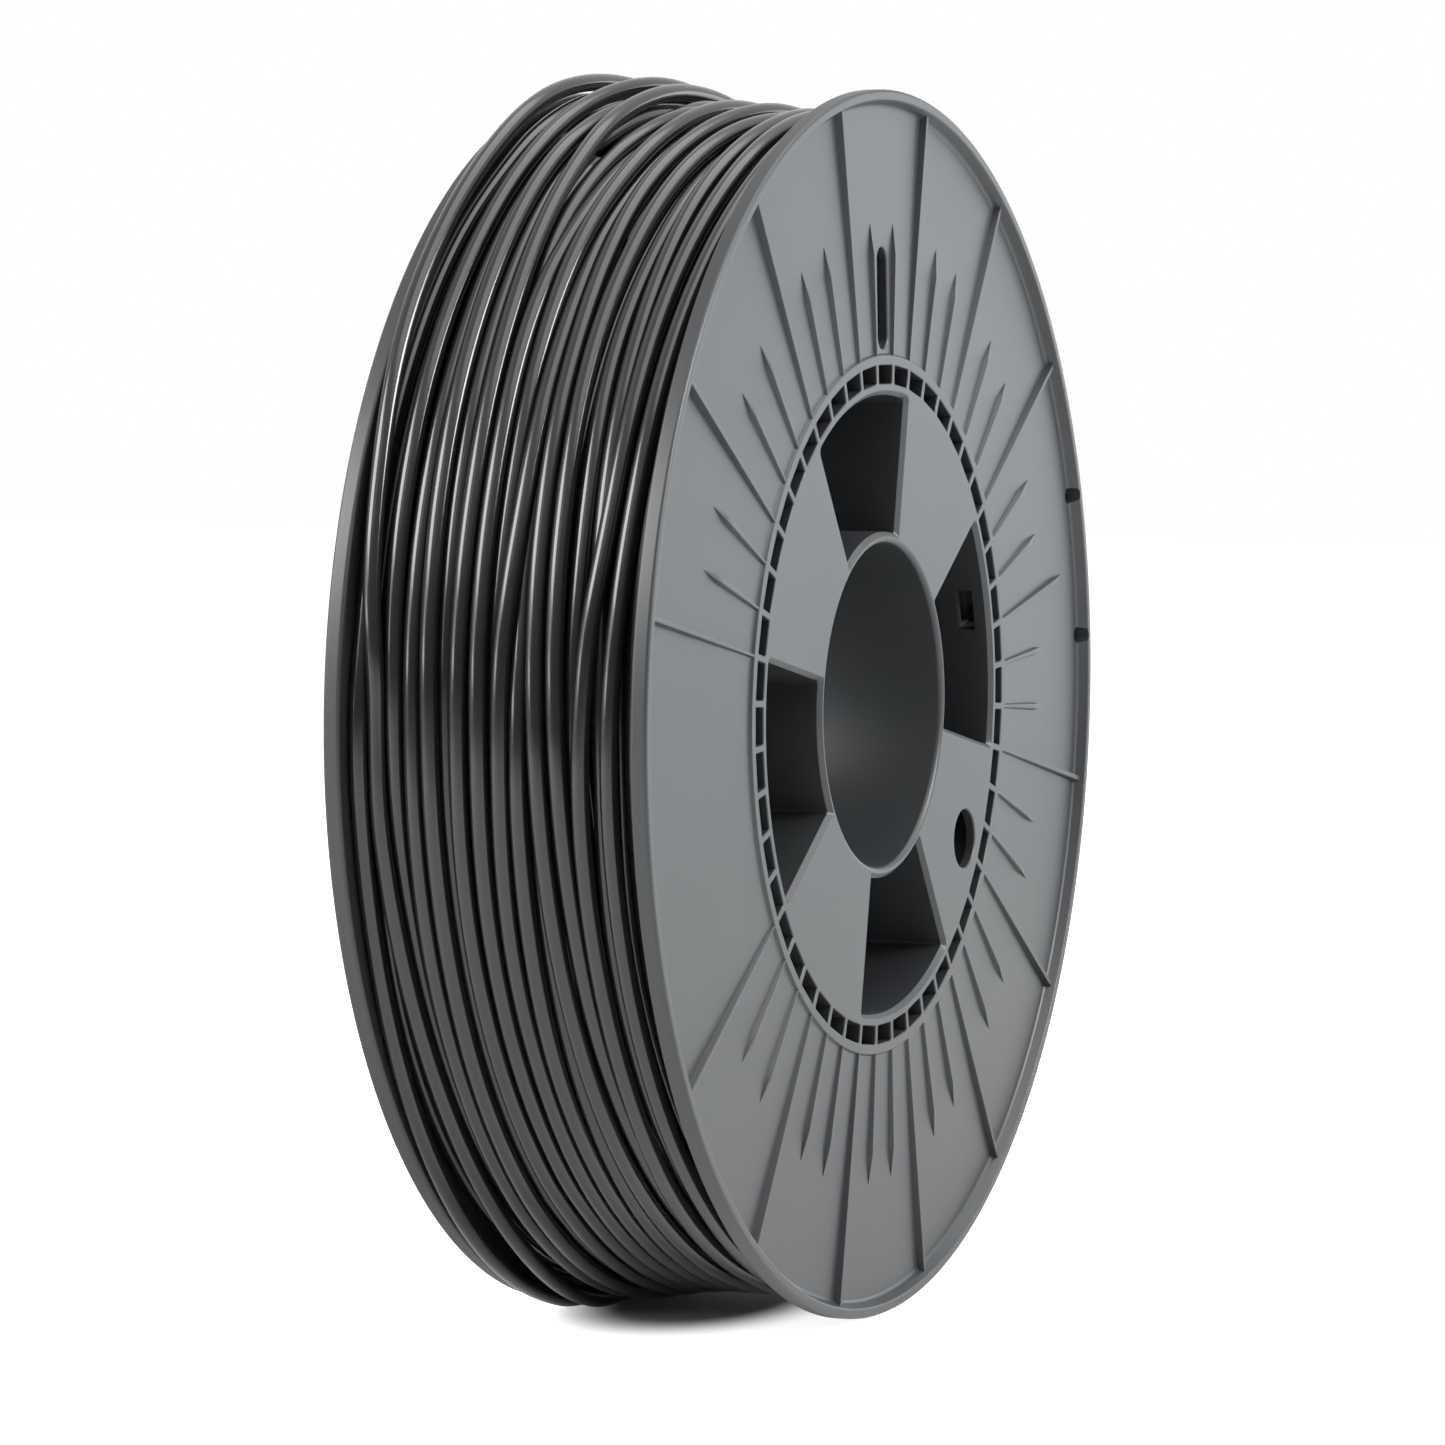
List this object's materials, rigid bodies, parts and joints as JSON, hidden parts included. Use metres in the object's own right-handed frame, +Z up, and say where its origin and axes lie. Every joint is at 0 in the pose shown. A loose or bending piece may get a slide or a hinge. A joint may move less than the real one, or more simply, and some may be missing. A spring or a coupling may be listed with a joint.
{
  "type": "filament spool",
  "caption": "Flanged spool with a round bore, sector openings and radial ribs, wound full with thick glossy filament for 3-D printing.",
  "frame": {"origin": "middle of the bore, half way between the two rims", "axes": "+Y along the spool's axis from the front rim to the rear rim, +Z up as the spool stands on its rims, +X to the right seen from the front"},
  "size_m": [0.2, 0.0536, 0.2],
  "materials": {
    "spool_plastic": "satin dark grey moulded plastic with a fine texture",
    "filament": "glossy black"
  },
  "bodies": {
    "root": {"front_spool_half": "spool_plastic", "rear_spool_half": "spool_plastic", "wound_filament": "filament"}
  },
  "joints": []
}
